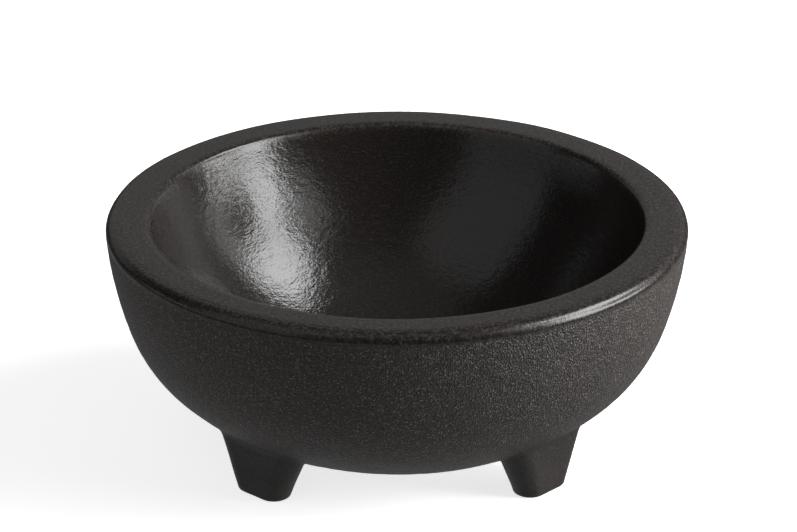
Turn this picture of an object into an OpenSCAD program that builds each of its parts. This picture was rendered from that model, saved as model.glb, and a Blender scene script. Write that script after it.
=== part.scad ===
// Molcajete: a thick round serving bowl that stands on four short tapered legs.
// Millimetres. +Z is up, the table is z = 0 and the bowl's axis is the Z axis.
// The legs stand on the diagonals, and each one is fitted to the round underside of the bowl.

/* [Bowl] */
// Outside diameter of the bowl at its widest level
bowl_d = 127; // [118:1:136]
// Width of the rim, from the outside wall to the inside wall
rim_w = 9.8; // [8.5:0.1:11]
// Radius that rounds the outer edge of the rim
rim_outer_round = 2.2; // [1.6:0.1:3]
// Radius that rounds the inner edge of the rim
rim_inner_round = 1.2; // [0.8:0.1:2]

/* [Legs] */
// Height of the bowl's flat underside above the table
underside_h = 3.5; // [2:0.1:5]
// Distance from the bowl's axis to the middle of each foot
foot_reach = 42; // [40:0.5:44]
// Width of a foot where it stands on the table, measured around the bowl
foot_w = 12.7; // [10.5:0.1:14]
// Depth of a foot where it stands on the table, measured out from the axis
foot_t = 7; // [7:0.1:8]
// Radius of a foot's upright corners
foot_corner = 3.4; // [2:0.1:3.4]
// Height of the bevel round the bottom of a foot
foot_bevel = 0.3; // [0.2:0.1:1]
// Width of a leg at its widest, where it runs into the bowl
leg_top_w = 26.8; // [22:0.1:28]
// Depth of a leg at its deepest, where it runs into the bowl
leg_top_t = 10.4; // [10.4:0.1:12]
// Radius of a leg's upright corners where it runs into the bowl
leg_top_corner = 5.1; // [3:0.1:5.1]

/* [Hidden] */
$fn = 96;
hull_fn = 32;
stone_grey = "#322e2c";
leg_grey = "#2b2826";
bowl_r = bowl_d / 2;

// A wall is a chain of arcs that run smoothly into each other. An arc is
// [radius, start angle, end angle], and a negative radius bends the wall the other way.
// An angle says how far the wall faces below level: -90 is straight up, 0 is sideways
// and 90 is straight down.
function facing(angle) = [cos(angle), -sin(angle)];
function arc_centre(first, arcs, i) =
    i == 0 ? first
           : arc_centre(first, arcs, i - 1) + (arcs[i - 1][0] - arcs[i][0]) * facing(arcs[i][1]);

// Chords stay within this distance of their arc
chord_gap = 0.02;
function arc_steps(arc) = ceil(abs(arc[2] - arc[1]) / (2 * acos(1 - chord_gap / abs(arc[0]))));
function arc_point(first, arcs, i, share) =
    arc_centre(first, arcs, i)
    + arcs[i][0] * facing(arcs[i][1] + share * (arcs[i][2] - arcs[i][1]));
function chain(first, arcs) = [
    for (i = [0 : len(arcs) - 1])
        for (step = [0 : arc_steps(arcs[i]) - 1])
            arc_point(first, arcs, i, step / arc_steps(arcs[i]))
];
function chain_end(first, arcs) = arc_point(first, arcs, len(arcs) - 1, 1);
function reversed(points) = [for (i = [len(points) - 1 : -1 : 0]) points[i]];

// Outside, from the top of the rim down to the edge of the flat underside.
// Heights along both walls are counted from the bowl's widest level.
outer_first = [bowl_r - rim_outer_round, 0];
outer_arcs = [
    [rim_outer_round, -90, 4.6],
    [1.295 * bowl_r, 4.6, 18.6],
    [0.526 * bowl_r, 18.6, 49.3],
    [0.882 * bowl_r, 49.3, 75]
];
underside_edge = chain_end(outer_first, outer_arcs);
underside_centre = [0, underside_edge[1]];
widest_h = underside_h - underside_edge[1];
outer_wall = concat(chain(outer_first, outer_arcs), [underside_edge, underside_centre]);

// Inside, from the top of the rim over the lip and down to the middle of the floor.
// Below the lip it is part of a sphere, whose centre is on the axis.
inner_first = [bowl_r - rim_w + rim_inner_round, rim_outer_round - rim_inner_round];
lip_angle = 15;
hollow_radius = inner_first[0] / cos(lip_angle) - rim_inner_round;
inner_arcs = [
    [-rim_inner_round, 90, lip_angle],
    [hollow_radius, lip_angle, 90]
];
floor_centre = [0, chain_end(inner_first, inner_arcs)[1]];
inner_wall = concat(chain(inner_first, inner_arcs), [floor_centre]);

// Top of a leg before it is fitted to the bowl: it lies inside the bowl's wall all round
leg_top_h = 0.26 * bowl_r;
leg_top_reach = foot_reach - 0.8;
skin = 0.01;

// Everything inside the bowl's outer surface
module bowl_outside() {
    rim_centre = [0, rim_outer_round];
    translate([0, 0, widest_h]) rotate_extrude() polygon(concat(outer_wall, [rim_centre]));
}

module bowl() {
    color(stone_grey) translate([0, 0, widest_h])
        rotate_extrude() polygon(concat(outer_wall, reversed(inner_wall)));
}

// Thin rounded plate, its depth along X and its width along Y
module plate(height, reach, depth, width, corner) {
    for (x = [-1, 1], y = [-1, 1])
        translate([reach + x * (depth / 2 - corner), y * (width / 2 - corner), height])
            cylinder(r = corner, h = skin, $fn = hull_fn);
}

// One leg: a tapered block that is cut to the bowl's outside
module leg(angle) {
    sole_t = foot_t - 2 * foot_bevel;
    sole_w = foot_w - 2 * foot_bevel;
    color(leg_grey) rotate([0, 0, angle]) difference() {
        hull() {
            plate(0, foot_reach, sole_t, sole_w, foot_corner - foot_bevel);
            plate(foot_bevel, foot_reach, foot_t, foot_w, foot_corner);
            plate(leg_top_h, leg_top_reach, leg_top_t, leg_top_w, leg_top_corner);
        }
        bowl_outside();
    }
}

bowl();
leg(225);  // leg_front_left
leg(315);  // leg_front_right
leg(135);  // leg_back_left
leg(45);  // leg_back_right
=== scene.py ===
"""Molcajete: a thick moulded serving bowl that stands on four short tapered legs.

Everything is in metres, in the frame of the CAD model: +Z is up, the table is z = 0 and the
bowl's axis is the Z axis. The bowl and each leg are surfaces worked out with numpy from a few
sizes, and they stand for the CAD nodes of the same names.
"""

import functools
import math

import bpy
import numpy as np
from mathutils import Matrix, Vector


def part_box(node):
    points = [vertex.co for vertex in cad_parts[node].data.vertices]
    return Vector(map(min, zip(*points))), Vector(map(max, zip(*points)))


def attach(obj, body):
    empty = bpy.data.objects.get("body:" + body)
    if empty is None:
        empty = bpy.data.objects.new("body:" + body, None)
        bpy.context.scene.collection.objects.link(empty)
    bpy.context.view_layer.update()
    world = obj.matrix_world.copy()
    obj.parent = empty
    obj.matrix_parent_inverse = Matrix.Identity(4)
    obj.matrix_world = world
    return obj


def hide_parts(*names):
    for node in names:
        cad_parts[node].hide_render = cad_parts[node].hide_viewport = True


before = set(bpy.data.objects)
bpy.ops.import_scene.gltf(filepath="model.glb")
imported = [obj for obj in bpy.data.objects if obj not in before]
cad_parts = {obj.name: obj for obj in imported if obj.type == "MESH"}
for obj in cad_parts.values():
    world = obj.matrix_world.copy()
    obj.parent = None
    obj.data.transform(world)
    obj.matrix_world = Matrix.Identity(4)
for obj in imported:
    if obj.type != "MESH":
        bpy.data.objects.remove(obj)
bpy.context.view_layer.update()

bl_info = {
    "name": "Molcajete",
    "version": (1, 0, 0),
    "blender": (4, 5, 0),
    "location": "3D View > Sidebar > Molcajete",
    "description": "Moulded serving bowl on four short tapered legs, with its studio",
    "category": "Add Mesh",
}

MM = 0.001
LEGS = ("leg_front_left", "leg_front_right", "leg_back_left", "leg_back_right")
BOWL_LOW, BOWL_HIGH = (np.array(corner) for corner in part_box("bowl"))
BOWL_R = round(float(BOWL_HIGH[0]), 4)
RIM_H = float(BOWL_HIGH[2])
UNDERSIDE_H = float(BOWL_LOW[2])

# Each arc of a wall is (radius, start angle, end angle). An angle says how far the wall faces
# below level: -90 is straight up, 0 is sideways and 90 is straight down.
SHOULDER_ARC = (1.295 * BOWL_R, 4.6, 18.6)
BELLY_ARC = (0.526 * BOWL_R, 18.6, 49.3)
UNDER_ARC = (0.882 * BOWL_R, 49.3, 75)
LIP_ANGLE = 15

# How far apart the points of the bowl's half section lie, on each arc and on the two flats, and
# how many points go round the axis.
OUTER_SPACINGS = (0.3 * MM, 0.85 * MM, 0.85 * MM, 0.95 * MM)
INNER_SPACINGS = (0.25 * MM, 0.95 * MM)
RIM_TOP_SPACING = 0.3 * MM
UNDERSIDE_SPACING = 2.2 * MM
BOWL_SIDES = 448

# Places along the surface, counted away from the rim's flat: where the fall of each edge starts,
# is deepest and ends, and where each finish starts and is whole.
OUTER_FALL = (-1.3 * MM, 0.35 * MM, 3.3 * MM)
LIP_FALL = (-MM, 0.5 * MM, 3 * MM)
GRIT_STARTS = (3.3 * MM, 4.2 * MM)
INSIDE_STARTS = (0.8 * MM, 3 * MM)
RIPPLE_STARTS = (0, 6 * MM)
RIPPLE_HEIGHT = 0.03 * MM

# The fillet between leg and bowl ends a little under the bowl's skin, and the leg's seat lies
# deeper still. A leg's faint wave begins above its foot, and its grit fades in over its height.
LANDING_DEPTH = 0.12 * MM
SEAT_DEPTH = 0.3 * MM
LEG_WAVE_STARTS = (0.3 * MM, 2 * MM)
LEG_WAVE_HEIGHT = 0.05 * MM
LEG_GRIT_STARTS = (5 * MM, 13 * MM)

# The plastic's patterns: the size of one grain, mark or dent, and how high it stands.
GRAIN_SIZE, GRAIN_HEIGHT = 0.46 * MM, 0.24 * MM
SAND_SIZE, SAND_HEIGHT = 0.5 * MM, 0.16 * MM
CLUMP_SIZE, CLUMP_HEIGHT = 1.6 * MM, 0.12 * MM
DRAG_SIZE, DRAG_HEIGHT = 0.7 * MM, 0.05 * MM
PEEL_SIZE, PEEL_HEIGHT = 0.65 * MM, 0.055 * MM
DENT_SIZE, DENT_HEIGHT = 2.6 * MM, 0.09 * MM
PATCH_SIZE = 9 * MM
LEG_SAND_SIZE, LEG_SAND_HEIGHT = 0.55 * MM, 0.16 * MM
LEG_DENT_SIZE, LEG_DENT_HEIGHT = 2.2 * MM, 0.1 * MM
LEG_FOOT_SAND_HEIGHT = 0.04 * MM

# How pale the marks are, between the two colours of the plastic: (factor, offset) that a pattern
# is multiplied by and raised by.
# Painted highlights: how pale the tops of the grains are painted.
GRAIN_GLINTS = (0.95, 0.04)
# Painted shade: how dark the hollows between the grains are painted.
PIT_SHADE = (0.4, -0.125)
SCUFFS = (0.6, -0.265)
SMEARS = (0.25, -0.13)
# Painted shade: the legs' random tone, kept darker than the bowl's grit in place of shade under
# the bowl.
LEG_TONE_AND_SHADE = (0.2, -0.07)

# Roughness of the rim, and what patches, grit and polish add to it.
RIM_ROUGHNESS = 0.21
PATCH_ROUGHNESS = 0.08
GRIT_ROUGHNESS = 0.25
POLISH_ROUGHNESS = -0.06
LEG_ROUGHNESS = 0.46
PLASTIC_IOR = 1.5

# Each softbox is a name, the (azimuth, elevation) of its middle and its (width, height), all in
# degrees as the bowl sees them, its distance in metres and how bright its face is. The key light
# is in three panels round a dark gap, with a weaker one on each side.
SOFTBOXES = (
    ("key_column", (71, 22.5), (17, 21), 0.8, 13.0),
    ("key_top", (95, 43.5), (32, 23), 0.8, 11.5),
    ("key_foot", (81, 5), (41, 14), 0.8, 10.4),
    ("key_side", (108, 19), (12, 18), 0.8, 2.2),
    ("key_fade", (54, 35), (15, 26), 0.8, 1.7),
    ("left_fill", (-60, 40), (46, 56), 1.0, 0.42),
    ("left_foot", (-70, 3), (80, 9), 1.0, 0.8),
    ("back_fill", (180, 22), (106, 28), 1.0, 0.22),
    ("top_fill", (0, 90), (44, 44), 1.0, 0.17),
)

# The room is dark down to the first of these two heights of a direction's unit vector, and as
# pale as the table from the second on.
ROOM_RADIANCE, TABLE_RADIANCE = 0.045, 0.37
TABLE_STARTS = (-0.1, -0.6)
BACKDROP_RADIANCE = 0.95

FLOOR_HALF = 3.0
FLOOR_LEVEL = -0.1 * MM
FLOOR_GLOW = 0.86
ACRYLIC_IOR = 1.49


# ---------------------------------------------------------------- sizes and colours


def linear(hex_colour):
    """Linear RGBA of an sRGB colour written as six hex digits."""
    levels = [int(hex_colour[i : i + 2], 16) / 255 for i in (0, 2, 4)]
    rgb = [c / 12.92 if c <= 0.04045 else ((c + 0.055) / 1.055) ** 2.4 for c in levels]
    return (*rgb, 1.0)


def length(name, description, default):
    """A property that holds a length in metres."""
    return bpy.props.FloatProperty(
        name=name, description=description, default=default, min=0.0, precision=5,
        unit="LENGTH", subtype="DISTANCE",
    )


def colour(name, description, default):
    """A property that holds a colour."""
    return bpy.props.FloatVectorProperty(
        name=name, description=description, default=linear(default), size=4, min=0.0, max=1.0,
        subtype="COLOR",
    )


class BowlSizes(bpy.types.PropertyGroup):
    """Sizes of the bowl that the CAD box doesn't hold."""

    rim_width: length("Rim width", "From the outside wall to the inside wall", 9.8 * MM)
    outer_round: length("Outer rounding", "Radius on the rim's outer edge", 2.2 * MM)
    inner_round: length("Inner rounding", "Radius on the rim's inner edge", 1.2 * MM)
    edge_fall: length("Edge fall", "How far the rim's two edges sink below the flat", 0.12 * MM)
    unevenness: length("Unevenness", "How far the walls wander from a true circle", 0.05 * MM)


class LegSizes(bpy.types.PropertyGroup):
    """Sizes of one leg, measured out from the bowl's axis (depth) and around it (width)."""

    reach: length("Reach", "From the bowl's axis to the middle of a foot", 42 * MM)
    foot_depth: length("Foot depth", "Depth of a foot on the table", 7 * MM)
    foot_width: length("Foot width", "Width of a foot on the table", 12.7 * MM)
    foot_corner: length("Foot corner", "Radius of a foot's upright corners", 3.4 * MM)
    sole_round: length("Sole rounding", "Radius round the bottom of a foot", 0.5 * MM)
    top_reach: length("Top reach", "From the axis to the middle of a leg's top", 41.2 * MM)
    top_depth: length("Top depth", "Depth of a leg at its top", 10.4 * MM)
    top_width: length("Top width", "Width of a leg at its top", 26.8 * MM)
    top_corner: length("Top corner", "Radius of the upright corners at the top", 5.1 * MM)
    top_height: length("Top height", "Height at which the top sizes hold", 16.51 * MM)
    fillet: length("Fillet", "How far a leg's side starts to bend before the bowl", 0.4 * MM)
    front_fillet: length("Outer fillet", "The same, on the face away from the axis", 1.3 * MM)


class Finish(bpy.types.PropertyGroup):
    """Colours of the plastic and of the studio floor."""

    charcoal: colour("Charcoal", "Body of the plastic", "1f1b19")
    # The pale colour is the plastic's random paler tone, and also the colour of the painted grain
    # highlights.
    pale_tone_and_glint: colour("Worn grain", "Tops of the grit", "8c837d")
    floor: colour("Floor", "Pale studio floor", "f2f2f2")


# ---------------------------------------------------------------- surfaces


def facing(angle):
    """Unit (radius, height) vectors that point `angle` degrees below level."""
    turned = np.radians(angle)
    return np.stack([np.cos(turned), -np.sin(turned)], axis=-1)


def arc_chain(first, arcs):
    """Centres of arcs that run smoothly into each other.

    Two neighbours share a point and face the same way there, so each centre is the one before
    it plus the difference of the two radii along that direction.
    """
    centres = [np.array(first, float)]
    for before, after in zip(arcs, arcs[1:]):
        centres.append(centres[-1] + (before[0] - after[0]) * facing(before[2]))
    return centres


def arc_points(centres, arcs, spacings):
    """Points along a chain of arcs: each is its centre plus the radius times facing(angle)."""
    fewest = 3
    rows = []
    for centre, (radius, start, end), spacing in zip(centres, arcs, spacings):
        swept = abs(radius * math.radians(end - start))
        steps = max(fewest, math.ceil(swept / spacing))
        angles = np.linspace(start, end, steps, endpoint=False)
        rows.append(centre + radius * facing(angles))
    return rows


def straight(start, end, spacing):
    """Points from start up to but not including end, evenly spaced on a line."""
    start, end = np.array(start, float), np.array(end, float)
    steps = max(1, math.ceil(np.linalg.norm(end - start) / spacing))
    share = np.linspace(0, 1, steps, endpoint=False)[:, None]
    return start + share * (end - start)


def outer_walls(sizes):
    """Centres and arcs of the outside, from the top of the rim down to the flat underside."""
    arcs = [(sizes.outer_round, -90, SHOULDER_ARC[1]), SHOULDER_ARC, BELLY_ARC, UNDER_ARC]
    first = (BOWL_R - sizes.outer_round, RIM_H - sizes.outer_round)
    return arc_chain(first, arcs), arcs


def inner_walls(sizes):
    """Centres and arcs of the inside, from the top of the rim down to the middle of the floor.

    The lip bends the other way, so its radius is negative. Below it the wall is part of a
    sphere with its centre on the axis, so the sphere's radius is the lip centre's distance from
    the axis along the way that both face, less the lip's own radius.
    """
    lip_reach = BOWL_R - sizes.rim_width + sizes.inner_round
    hollow = lip_reach / math.cos(math.radians(LIP_ANGLE)) - sizes.inner_round
    arcs = [(-sizes.inner_round, 90, LIP_ANGLE), (hollow, LIP_ANGLE, 90)]
    return arc_chain((lip_reach, RIM_H - sizes.inner_round), arcs), arcs


def waves(points, size, count, seed):
    """A smooth random height for each point, about -1 to 1.

    It is the sum of plane waves of about the wavelength `size`, which run in random directions
    from random starting points, divided by the root of half their number.
    """
    rng = np.random.default_rng(seed)
    ways = rng.normal(size=(count, 3))
    ways /= np.linalg.norm(ways, axis=1, keepdims=True)
    ways *= 2 * math.pi / (size * rng.uniform(0.7, 1.5, (count, 1)))
    starts = rng.uniform(0, 2 * math.pi, count)
    return np.sin(points @ ways.T + starts).sum(axis=-1) / math.sqrt(count / 2)


def grid_faces(rings, sides):
    """Four-sided faces between neighbouring rings of a closed tube, as rows of point numbers."""
    ring, side = np.meshgrid(np.arange(rings - 1), np.arange(sides), indexing="ij")
    here = ring * sides + side
    along = ring * sides + (side + 1) % sides
    return np.stack([here, along, along + sides, here + sides], axis=-1).reshape(-1, 4)


def fan_faces(pole, ring_start, sides, upwards):
    """Three-sided faces that close a ring on one point."""
    here = ring_start + np.arange(sides)
    along = ring_start + (np.arange(sides) + 1) % sides
    pair = (here, along) if upwards else (along, here)
    return np.stack([*pair, np.full(sides, pole)], axis=-1)


def tube_mesh(name, rings, first_pole, last_pole, material):
    """An object made of rings of points, closed at both ends on a single point.

    rings is an array of (ring, side, xyz). The sides run anticlockwise round the first ring as
    seen from the side that the last ring lies on.
    """
    count, sides, _ = rings.shape
    points = np.concatenate([rings.reshape(-1, 3), [first_pole], [last_pole]])
    quads = grid_faces(count, sides)
    ends = np.concatenate([
        fan_faces(count * sides, 0, sides, False),
        fan_faces(count * sides + 1, (count - 1) * sides, sides, True),
    ])
    mesh = bpy.data.meshes.new(name)
    mesh.from_pydata(points.tolist(), [], quads.tolist() + ends.tolist())
    mesh.polygons.foreach_set("use_smooth", np.ones(len(quads) + len(ends), bool))
    mesh.materials.append(material)
    mesh.update()
    piece = bpy.data.objects.new(name, mesh)
    bpy.context.scene.collection.objects.link(piece)
    return piece


def add_field(piece, name, values):
    """Stores one number for each point of a piece, which its material reads by name."""
    field = piece.data.attributes.new(name, "FLOAT", "POINT")
    field.data.foreach_set("value", np.ascontiguousarray(values, dtype=np.float32))


def smoothstep(low, high, values):
    """0 up to low, 1 from high on, and between them the share s of the way as 3 s^2 - 2 s^3."""
    share = np.clip((values - low) / (high - low), 0, 1)
    return share * share * (3 - 2 * share)


def dip(start, deepest, end, values):
    """0 up to start, 1 at the deepest and 0 again from end on, with a smoothstep on each side."""
    return smoothstep(start, deepest, values) - smoothstep(deepest, end, values)


def bowl_profile(sizes):
    """Half section of the bowl from the middle of the underside to the middle of the floor.

    Returns the points and, for each point, how far outside the rim's outer edge it lies and how
    far inside the lip it lies, both measured along the surface.
    """
    outer_centres, outer_arcs = outer_walls(sizes)
    inner_centres, inner_arcs = inner_walls(sizes)
    under_edge = outer_centres[-1] + outer_arcs[-1][0] * facing(outer_arcs[-1][2])
    outer_rows = arc_points(outer_centres, outer_arcs, OUTER_SPACINGS)
    inner_rows = arc_points(inner_centres, inner_arcs, INNER_SPACINGS)
    outer = np.concatenate([*outer_rows, [under_edge]])[::-1]
    under = straight((0, under_edge[1]), under_edge, UNDERSIDE_SPACING)[1:]
    top = straight(outer[-1], inner_rows[0][0], RIM_TOP_SPACING)[1:]
    inner = np.concatenate(inner_rows)
    profile = np.concatenate([under, outer, top, inner])
    steps = np.linalg.norm(np.diff(profile, axis=0), axis=1)
    along = np.concatenate([[0], np.cumsum(steps)])
    rim_edge = along[len(under) + len(outer) - 1]
    lip_edge = along[len(under) + len(outer) + len(top)]
    return profile, rim_edge - along, along - lip_edge


def profile_normals(profile):
    """Unit vectors square to a half section, on its right-hand side as it runs."""
    ahead = np.gradient(profile, axis=0)
    across = np.stack([ahead[:, 1], -ahead[:, 0]], axis=1)
    return across / np.linalg.norm(across, axis=1, keepdims=True)


def make_bowl(sizes, material):
    """The bowl: its half section turned round the axis.

    point(i, j) = (r_i cos t_j, r_i sin t_j, z_i), with t_j evenly spaced round the circle. Each
    point then sinks along its normal by a slow wave, as a thick moulding does while it cools, by
    a faint ripple on the outside and by the fall of the rim's two edges. No point rises.
    """
    profile, outwards, inwards = bowl_profile(sizes)
    across = profile_normals(profile)
    turn = np.linspace(0, 2 * math.pi, BOWL_SIDES, endpoint=False)
    ring_x, ring_y = np.cos(turn), np.sin(turn)

    def turned(rows):
        heights = np.broadcast_to(rows[:, 1, None], (len(rows), BOWL_SIDES))
        return np.stack([rows[:, :1] * ring_x, rows[:, :1] * ring_y, heights], axis=-1)

    points, normals = turned(profile), turned(across)
    slow = waves(points, size=26 * MM, count=18, seed=3)
    ripple = waves(points, size=2.6 * MM, count=40, seed=4)
    ripple_height = RIPPLE_HEIGHT * smoothstep(*RIPPLE_STARTS, outwards)
    fall = dip(*OUTER_FALL, outwards) + dip(*LIP_FALL, inwards)
    drop = sizes.unevenness * (1 - np.tanh(slow)) + sizes.edge_fall * fall[:, None]
    drop = drop + ripple_height[:, None] * (1 - np.tanh(ripple))
    points = points - normals * drop[..., None]
    ends = (0, 0, points[0, :, 2].mean()), (0, 0, points[-1, :, 2].mean())
    piece = tube_mesh("bowl_shell", points, *ends, material)
    grit = smoothstep(*GRIT_STARTS, outwards)
    inside = smoothstep(*INSIDE_STARTS, inwards)
    for name, row, pole_values in (("grit", grit, (1, 0)), ("inside", inside, (0, 1))):
        add_field(piece, name, np.concatenate([np.repeat(row, BOWL_SIDES), pole_values]))
    return piece


def bowl_gap(sizes, points):
    """Distance of points from the bowl's outside, and the way straight out of it.

    Every direction in which the wall faces belongs to one arc, so the distance is the one from
    that arc's centre less its radius. Below the flat underside it is the height.
    """
    nearly_zero = MM * MM
    radius = np.hypot(points[..., 0], points[..., 1])
    gap = UNDERSIDE_H - points[..., 2]
    way = np.stack([np.zeros_like(radius), -np.ones_like(radius)], axis=-1)
    for centre, (arc_radius, start, end) in zip(*outer_walls(sizes)):
        across, down = radius - centre[0], centre[1] - points[..., 2]
        angle = np.degrees(np.arctan2(down, across))
        reach = np.hypot(across, down)
        here = (angle >= start) & (angle < end)
        gap = np.where(here, reach - arc_radius, gap)
        out = np.stack([across, -down], axis=-1) / np.maximum(reach, nearly_zero)[..., None]
        way = np.where(here[..., None], out, way)
    sideways = points[..., :2] / np.maximum(radius, nearly_zero)[..., None] * way[..., :1]
    return gap, np.concatenate([sideways, way[..., 1:]], axis=-1)


def leg_outline():
    """One turn round a leg: for each point its corner signs, and the way that its side faces.

    A rounded rectangle's point is sign * (half size - corner) + corner * way. The signs slide
    from one corner to the next along each straight side, and the way turns at the corners.
    """
    side_steps, corner_steps = 14, 9
    signs, ways = [], []
    corners = np.array([(1, -1), (1, 1), (-1, 1), (-1, -1)])
    for number, corner in enumerate(corners):
        turn = np.radians(90 * number - 90 + np.linspace(0, 90, corner_steps, endpoint=False))
        ways.append(np.stack([np.cos(turn), np.sin(turn)], axis=1))
        signs.append(np.repeat(corner[None], corner_steps, axis=0))
        share = np.linspace(0, 1, side_steps, endpoint=False)[:, None]
        signs.append(corner + share * (corners[(number + 1) % 4] - corner))
        face = math.radians(90 * number)
        ways.append(np.repeat([[math.cos(face), math.sin(face)]], side_steps, axis=0))
    return np.concatenate(signs), np.concatenate(ways)


def leg_side(sizes, heights, signs, ways, shrink=0.0):
    """Points on a leg's side at the given heights: every size runs straight from foot to top.

    shrink moves the points in, square to the side.
    """
    share = heights / sizes.top_height
    depth = (1 - share) * sizes.foot_depth + share * sizes.top_depth
    width = (1 - share) * sizes.foot_width + share * sizes.top_width
    corner = (1 - share) * sizes.foot_corner + share * sizes.top_corner
    reach = (1 - share) * sizes.reach + share * sizes.top_reach
    x = reach + signs[:, 0] * (depth / 2 - corner) + (corner - shrink) * ways[:, 0]
    y = signs[:, 1] * (width / 2 - corner) + (corner - shrink) * ways[:, 1]
    return np.stack([x, y, heights + 0 * x], axis=-1)


def meeting_heights(bowl_sizes, sizes, signs, ways):
    """The height at which each line up a leg's side meets the bowl, found by halving."""
    halvings = 40
    low, high = np.zeros(len(signs)), np.full(len(signs), sizes.top_height)
    for _ in range(halvings):
        middle = (low + high) / 2
        outside = bowl_gap(bowl_sizes, leg_side(sizes, middle, signs, ways))[0] > 0
        low, high = np.where(outside, middle, low), np.where(outside, high, middle)
    return low


def leg_rings(bowl_sizes, sizes):
    """Rings of a leg that points along +X, from its sole to its seat in the bowl's wall.

    The sole's edge is a quarter circle. The side runs straight up to just before the bowl, and
    then bends into it along a curve with three points: the last of the straight side, the
    corner where side and bowl would meet, and a landing just under the bowl's skin. The seat
    closes the leg a little deeper. The part of the side that faces away from the bowl's axis
    has the wider fillet. Returns the rings and the middles of the sole and the seat.
    """
    sole_steps, side_steps, bend_steps = 6, 24, 9
    sole_shares, seat_shares = (0.25, 0.5, 0.75, 0.92), (1, 0.75, 0.5, 0.25)
    signs, ways = leg_outline()
    meeting = meeting_heights(bowl_sizes, sizes, signs, ways)
    ground = np.zeros_like(meeting)
    corner = leg_side(sizes, meeting, signs, ways)
    away = smoothstep(0.3, 0.9, ways[:, 0])
    bend = sizes.fillet + away * (sizes.front_fillet - sizes.fillet)
    last = leg_side(sizes, meeting - bend, signs, ways)
    beyond = corner + np.concatenate([ways, ground[:, None]], axis=1) * bend[:, None]
    gap, out = bowl_gap(bowl_sizes, beyond)
    landing = beyond - (gap + LANDING_DEPTH)[:, None] * out

    sole_round = sizes.sole_round
    sole_edge = leg_side(sizes, ground, signs, ways, sole_round)
    sole_middle = np.array([sizes.reach, 0, 0])
    rings = [sole_middle + share * (sole_edge - sole_middle) for share in sole_shares]
    for angle in np.radians(np.linspace(0, 90, sole_steps)):
        inset, height = sole_round * (1 - math.sin(angle)), sole_round * (1 - math.cos(angle))
        rings.append(leg_side(sizes, ground + height, signs, ways, inset))
    foot = rings[-1]
    rings += [foot + share * (last - foot) for share in np.linspace(0, 1, side_steps)[1:]]
    for share in np.linspace(0, 1, bend_steps)[1:]:
        start, turn, end = (1 - share) ** 2, 2 * share * (1 - share), share**2
        rings.append(start * last + turn * corner + end * landing)
    seat_middle = np.array([sizes.top_reach, 0, landing[:, 2].mean()])
    for share in seat_shares:
        flat = seat_middle + share * (landing - seat_middle)
        gap, out = bowl_gap(bowl_sizes, flat)
        rings.append(flat - (gap + SEAT_DEPTH)[:, None] * out)
    gap, out = bowl_gap(bowl_sizes, seat_middle)
    return np.stack(rings), sole_middle, seat_middle - (gap + SEAT_DEPTH) * out


def make_leg(name, bowl_sizes, sizes, material, seed):
    """One leg: leg_rings turned to its place, with a faint wave of its own.

    The wave sinks each point towards a hub inside the leg, by the wave's height times one plus
    a share of a slow random wave.
    """
    hub_share, random_share = 0.4, 0.8
    rings, sole, seat = leg_rings(bowl_sizes, sizes)
    low, high = (np.array(corner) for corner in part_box(name))
    heading = math.atan2(low[1] + high[1], low[0] + high[0])
    cos, sin = math.cos(heading), math.sin(heading)
    spin = np.array([[cos, sin, 0], [-sin, cos, 0], [0, 0, 1]])
    hub = np.array([sizes.reach, 0, hub_share * sizes.top_height])
    from_hub = (rings - hub) / np.linalg.norm(rings - hub, axis=-1, keepdims=True)
    sink = 1 + random_share * waves(rings, size=9 * MM, count=14, seed=seed)
    sink = sink * LEG_WAVE_HEIGHT * smoothstep(*LEG_WAVE_STARTS, rings[..., 2])
    rings = rings - from_hub * sink[..., None]
    piece = tube_mesh(name + "_shell", rings @ spin, sole @ spin, seat @ spin, material)
    height = np.concatenate([rings[..., 2].ravel(), [sole[2], seat[2]]])
    add_field(piece, "rise", smoothstep(*LEG_GRIT_STARTS, height))
    return piece


# ---------------------------------------------------------------- materials


def add_node(tree, kind, inputs=(), **settings):
    """Adds one shader node, with its settings.

    inputs holds, under each socket's name or place, its value or the node or socket that feeds it.
    """
    node = tree.nodes.new("ShaderNode" + kind)
    for name, value in settings.items():
        setattr(node, name, value)
    for key, value in dict(inputs).items():
        source = value.outputs[0] if isinstance(value, bpy.types.Node) else value
        if isinstance(source, bpy.types.NodeSocket):
            tree.links.new(source, node.inputs[key])
        else:
            node.inputs[key].default_value = source
    return node


def new_material(name):
    """An empty node material, and add_node for its tree."""
    material = bpy.data.materials.new(name)
    material.use_nodes = True
    material.node_tree.nodes.clear()
    return material, functools.partial(add_node, material.node_tree)


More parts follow.
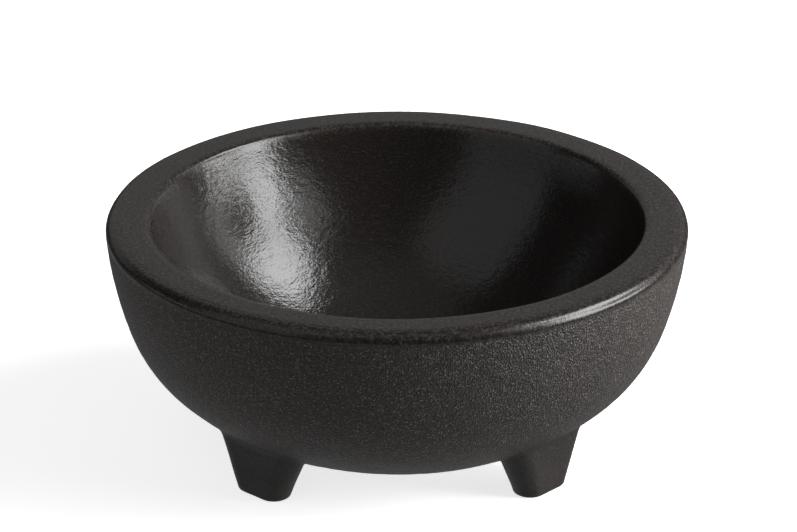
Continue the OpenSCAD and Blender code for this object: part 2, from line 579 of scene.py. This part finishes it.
def make_bowl_material(finish):
    """Charcoal polypropylene, injection moulded in a tool with three finishes.

    The outside was cast against a sandblasted cavity, so it is covered in even grit of about
    half a millimetre. Its colour has painted highlights on the grain tops and painted shade
    between the grains. The rim was left satin, with faint drag marks. The inside was polished,
    so it shines softly through a fine orange peel that lies round the bowl.
    """
    peel_squeeze, crown_foot, crown_top, rarity = 2.2, 0.5, 0.2, 3.0
    material, node = new_material("charcoal_polypropylene")
    where = node("TexCoord").outputs["Object"]
    grit = node("Attribute", attribute_name="grit").outputs["Fac"]
    inside = node("Attribute", attribute_name="inside").outputs["Fac"]
    worked = node("Math", {0: grit, 1: inside}, operation="ADD")
    rim = node("Math", {0: 1.0, 1: worked}, operation="SUBTRACT")
    flow = node("Mapping", {"Vector": where, "Scale": (1, 1, peel_squeeze)})

    coarse = {"Detail": 2, "Roughness": 0.6}
    sand = node("TexNoise", {"Vector": where, "Scale": 1 / SAND_SIZE, **coarse})
    clumps = node("TexNoise", {"Vector": where, "Scale": 1 / CLUMP_SIZE, "Detail": 1})
    grains = node("TexVoronoi", {"Vector": where, "Scale": 1 / GRAIN_SIZE})
    peel = node("TexNoise", {"Vector": flow, "Scale": 1 / PEEL_SIZE, "Detail": 1})
    dents = node("TexNoise", {"Vector": flow, "Scale": 1 / DENT_SIZE, "Detail": 1})
    drag = node("TexNoise", {"Vector": where, "Scale": 1 / DRAG_SIZE, **coarse})

    # A grain's pattern is the distance from its middle, so its height is taken away.
    cast = node("Math", {0: clumps, 1: CLUMP_HEIGHT}, operation="MULTIPLY")
    cast = node("Math", {0: sand, 1: SAND_HEIGHT, 2: cast}, operation="MULTIPLY_ADD")
    cast = node("Math", {0: grains, 1: -GRAIN_HEIGHT, 2: cast}, operation="MULTIPLY_ADD")
    polished = node("Math", {0: dents, 1: DENT_HEIGHT}, operation="MULTIPLY")
    polished = node("Math", {0: peel, 1: PEEL_HEIGHT, 2: polished}, operation="MULTIPLY_ADD")
    height = node("Math", {0: drag, 1: DRAG_HEIGHT}, operation="MULTIPLY")
    height = node("Math", {0: rim, 1: height}, operation="MULTIPLY")
    height = node("Math", {0: grit, 1: cast, 2: height}, operation="MULTIPLY_ADD")
    height = node("Math", {0: inside, 1: polished, 2: height}, operation="MULTIPLY_ADD")
    bump = node("Bump", {"Strength": 1.0, "Distance": 1.0, "Height": height})

    # Painted highlights: the top of each grain is painted paler, on a few much more than on most,
    #     # and painted shade darkens the hollows between them. The rim has pale scuffs, and the
    #     inside
    #     # fainter smears.
    crown = {"Value": grains, "From Min": crown_foot, "From Max": crown_top}
    glint_spot = node("MapRange", crown, interpolation_type="SMOOTHSTEP")
    chance = node("SeparateColor", {0: grains.outputs["Color"]})
    rare = node("Math", {0: chance, 1: rarity}, operation="POWER")
    share = node("Math", {0: rare, 1: GRAIN_GLINTS[0], 2: GRAIN_GLINTS[1]}, operation="MULTIPLY_ADD")
    pit_shade = node("Math", {0: sand, 1: PIT_SHADE[0], 2: PIT_SHADE[1]}, operation="MULTIPLY_ADD")
    # The grit's colour, with its painted highlights and painted shade.
    tone_and_painted_shading = node("Math", {0: glint_spot, 1: share, 2: pit_shade}, operation="MULTIPLY_ADD")
    scuffs = node("Math", {0: drag, 1: SCUFFS[0], 2: SCUFFS[1]}, operation="MULTIPLY_ADD")
    smears = node("Math", {0: peel, 1: SMEARS[0], 2: SMEARS[1]}, operation="MULTIPLY_ADD")
    paleness = node("Math", {0: rim, 1: scuffs}, operation="MULTIPLY")
    paleness = node("Math", {0: inside, 1: smears, 2: paleness}, operation="MULTIPLY_ADD")
    paleness = node("Math", {0: grit, 1: tone_and_painted_shading, 2: paleness}, operation="MULTIPLY_ADD")
    tint = node("Mix", {0: paleness, 6: finish.charcoal, 7: finish.pale_tone_and_glint}, data_type="RGBA")

    blotchy = {"Detail": 3, "Roughness": 0.6}
    patches = node("TexNoise", {"Vector": where, "Scale": 1 / PATCH_SIZE, **blotchy})
    shine = {0: patches, 1: PATCH_ROUGHNESS, 2: RIM_ROUGHNESS}
    roughness = node("Math", shine, operation="MULTIPLY_ADD")
    shine = {0: grit, 1: GRIT_ROUGHNESS, 2: roughness}
    roughness = node("Math", shine, operation="MULTIPLY_ADD")
    shine = {0: inside, 1: POLISH_ROUGHNESS, 2: roughness}
    roughness = node("Math", shine, operation="MULTIPLY_ADD")
    plastic = {
        "Base Color": tint.outputs[2], "Roughness": roughness, "IOR": PLASTIC_IOR, "Normal": bump,
    }
    node("OutputMaterial", {"Surface": node("BsdfPrincipled", plastic)})
    return material


def make_leg_material(finish):
    """Same charcoal polypropylene, painted darker as shade; the tool's grit wears out towards the
    foot.
    """
    material, node = new_material("charcoal_polypropylene_leg")
    where = node("TexCoord").outputs["Object"]
    rise = node("Attribute", attribute_name="rise").outputs["Fac"]
    speckle = {"Vector": where, "Scale": 1 / LEG_SAND_SIZE, "Detail": 2, "Roughness": 0.6}
    sand = node("TexNoise", speckle)
    dents = node("TexNoise", {"Vector": where, "Scale": 1 / LEG_DENT_SIZE, "Detail": 2})
    rising = {0: rise, 1: LEG_SAND_HEIGHT, 2: LEG_FOOT_SAND_HEIGHT}
    sand_height = node("Math", rising, operation="MULTIPLY_ADD")
    height = node("Math", {0: dents, 1: LEG_DENT_HEIGHT}, operation="MULTIPLY")
    height = node("Math", {0: sand, 1: sand_height, 2: height}, operation="MULTIPLY_ADD")
    bump = node("Bump", {"Strength": 1.0, "Distance": 1.0, "Height": height})
    # Painted shade: the legs' tone stays darker than the bowl's grit, standing in for shade under
    # the bowl.
    tone_and_painted_shading = node("Math", {0: sand, 1: LEG_TONE_AND_SHADE[0], 2: LEG_TONE_AND_SHADE[1]}, operation="MULTIPLY_ADD")
    tint = node("Mix", {0: tone_and_painted_shading, 6: finish.charcoal, 7: finish.pale_tone_and_glint}, data_type="RGBA")
    plastic = {
        "Base Color": tint.outputs[2], "Roughness": LEG_ROUGHNESS, "IOR": PLASTIC_IOR,
        "Normal": bump,
    }
    node("OutputMaterial", {"Surface": node("BsdfPrincipled", plastic)})
    return material


def make_floor_material(finish):
    """Opal acrylic table, lit from below: its glow fills in the shadows that fall on it."""
    material, node = new_material("opal_acrylic")
    where = node("TexCoord").outputs["Object"]
    mottle_size, mottled, plain = 0.4, 0.04, 0.58
    mottle = node("TexNoise", {"Vector": where, "Scale": 1 / mottle_size, "Detail": 2})
    roughness = node("Math", {0: mottle, 1: mottled, 2: plain}, operation="MULTIPLY_ADD")
    acrylic = {
        "Base Color": finish.floor, "Roughness": roughness, "IOR": ACRYLIC_IOR,
        "Emission Color": finish.floor, "Emission Strength": FLOOR_GLOW,
    }
    node("OutputMaterial", {"Surface": node("BsdfPrincipled", acrylic)})
    return material


# ---------------------------------------------------------------- studio


def around(azimuth, elevation, distance):
    """A place at a distance from the axis. Azimuth 0 is in front, at -Y, and 90 is at +X."""
    turn, rise = math.radians(azimuth), math.radians(elevation)
    level = math.cos(rise)
    return Vector((math.sin(turn) * level, -math.cos(turn) * level, math.sin(rise))) * distance


def add_softbox(name, middle, spread, distance, radiance):
    """A rectangular area light that faces the bowl.

    middle is its (azimuth, elevation) and spread its (width, height), in degrees as seen from
    the rim's level. Its power is pi times the radiance of its face times its area.
    """
    light = bpy.data.lights.new(name, "AREA")
    light.shape = "RECTANGLE"
    light.size, light.size_y = (2 * distance * math.tan(math.radians(each) / 2) for each in spread)
    light.energy = math.pi * radiance * light.size * light.size_y
    lamp = bpy.data.objects.new(name, light)
    away = around(*middle, distance)
    lamp.location = Vector((0, 0, RIM_H)) + away
    lamp.rotation_euler = away.to_track_quat("Z", "Y").to_euler()
    lamp.visible_camera = False
    bpy.context.scene.collection.objects.link(lamp)


def add_camera():
    """A long lens at the front, a little to the left, that looks down at 23.5 degrees.

    distance, aside and lower are in radii of the bowl, from the middle of its widest level. The
    camera's line of sight passes below that middle.
    """
    data = bpy.data.cameras.new("camera")
    data.lens, data.sensor_width = 210.4, 36
    camera = bpy.data.objects.new("camera", data)
    azimuth, elevation, distance = -2.0, 23.53, 16.0
    away = around(azimuth, elevation, 1.0)
    right = Vector((math.cos(math.radians(azimuth)), math.sin(math.radians(azimuth)), 0))
    up = away.cross(right)
    widest_h = RIM_H - bpy.context.scene.bowl_sizes.outer_round
    aside, lower = 0.0052, -0.1423
    from_widest = BOWL_R * (distance * away + aside * right + lower * up)
    camera.location = Vector((0, 0, widest_h)) + from_widest
    camera.rotation_euler = away.to_track_quat("Z", "Y").to_euler()
    bpy.context.scene.collection.objects.link(camera)
    bpy.context.scene.camera = camera


def make_world():
    """A dim room for the bowl to stand in, which the camera sees as a white backdrop.

    As the bowl sees it, the room is dark, and paler far below, where light comes back from the
    table.
    """
    world = bpy.data.worlds.new("studio_room")
    world.use_nodes = True
    world.node_tree.nodes.clear()
    node = functools.partial(add_node, world.node_tree)
    way = node("SeparateXYZ", {0: node("TexCoord").outputs["Generated"]})
    bounce = {
        "Value": way.outputs["Z"], "From Min": TABLE_STARTS[0], "From Max": TABLE_STARTS[1],
        "To Min": ROOM_RADIANCE, "To Max": TABLE_RADIANCE,
    }
    below = node("MapRange", bounce, interpolation_type="SMOOTHSTEP")
    seen = node("LightPath").outputs["Is Camera Ray"]
    strength = node("Math", {0: seen, 1: BACKDROP_RADIANCE, 2: below}, operation="MULTIPLY_ADD")
    backdrop = node("Background", {"Color": linear("ffffff"), "Strength": strength})
    node("OutputWorld", {"Surface": backdrop})
    bpy.context.scene.world = world


def make_stage(finish):
    """Pale floor, soft lights, a dim room and the camera.

    The floor lies just below the soles. The bowl doesn't see it, and has the room's paler lower
    part in its place.
    """
    signs = ((-1, -1), (1, -1), (1, 1), (-1, 1))
    corners = [(x * FLOOR_HALF, y * FLOOR_HALF, FLOOR_LEVEL) for x, y in signs]
    mesh = bpy.data.meshes.new("floor")
    mesh.from_pydata(corners, [], [(0, 1, 2, 3)])
    mesh.materials.append(make_floor_material(finish))
    floor = bpy.data.objects.new("floor", mesh)
    floor.visible_diffuse = False
    floor.visible_glossy = False
    bpy.context.scene.collection.objects.link(floor)

    make_world()
    for softbox in SOFTBOXES:
        add_softbox(*softbox)
    add_camera()
    bpy.context.scene.view_settings.view_transform = "Standard"


# ---------------------------------------------------------------- operators and panel


class MOLCAJETE_OT_bowl(bpy.types.Operator):
    """Builds the bowl"""

    bl_idname = "molcajete.bowl"
    bl_label = "Bowl"

    def execute(self, context):
        scene = context.scene
        piece = make_bowl(scene.bowl_sizes, make_bowl_material(scene.finish))
        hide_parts("bowl")
        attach(piece, "root")
        return {"FINISHED"}


class MOLCAJETE_OT_legs(bpy.types.Operator):
    """Builds the four legs"""

    bl_idname = "molcajete.legs"
    bl_label = "Legs"

    def execute(self, context):
        scene = context.scene
        material = make_leg_material(scene.finish)
        for seed, name in enumerate(LEGS, start=20):
            piece = make_leg(name, scene.bowl_sizes, scene.leg_sizes, material, seed)
            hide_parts(name)
            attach(piece, "root")
        return {"FINISHED"}


class MOLCAJETE_OT_stage(bpy.types.Operator):
    """Builds the floor, the lights and the camera"""

    bl_idname = "molcajete.stage"
    bl_label = "Stage"

    def execute(self, context):
        make_stage(context.scene.finish)
        return {"FINISHED"}


class MOLCAJETE_PT_sidebar(bpy.types.Panel):
    """Lists the sizes, the colours and the operators"""

    bl_label = "Molcajete"
    bl_idname = "MOLCAJETE_PT_sidebar"
    bl_space_type = "VIEW_3D"
    bl_region_type = "UI"
    bl_category = "Molcajete"

    def draw(self, context):
        for group in (context.scene.bowl_sizes, context.scene.leg_sizes, context.scene.finish):
            box = self.layout.box()
            for name in group.__annotations__:
                box.prop(group, name)
        for operator in OPERATORS:
            self.layout.operator(operator.bl_idname)


GROUPS = {"bowl_sizes": BowlSizes, "leg_sizes": LegSizes, "finish": Finish}
OPERATORS = (MOLCAJETE_OT_bowl, MOLCAJETE_OT_legs, MOLCAJETE_OT_stage)
CLASSES = (*GROUPS.values(), *OPERATORS, MOLCAJETE_PT_sidebar)


def register():
    for each in CLASSES:
        bpy.utils.register_class(each)
    for name, group in GROUPS.items():
        setattr(bpy.types.Scene, name, bpy.props.PointerProperty(type=group))


def unregister():
    for name in GROUPS:
        delattr(bpy.types.Scene, name)
    for each in reversed(CLASSES):
        bpy.utils.unregister_class(each)


def main():
    """Builds every piece and the stage."""
    register()
    bpy.ops.molcajete.bowl()
    bpy.ops.molcajete.legs()
    bpy.ops.molcajete.stage()


if __name__ == "__main__":
    main()
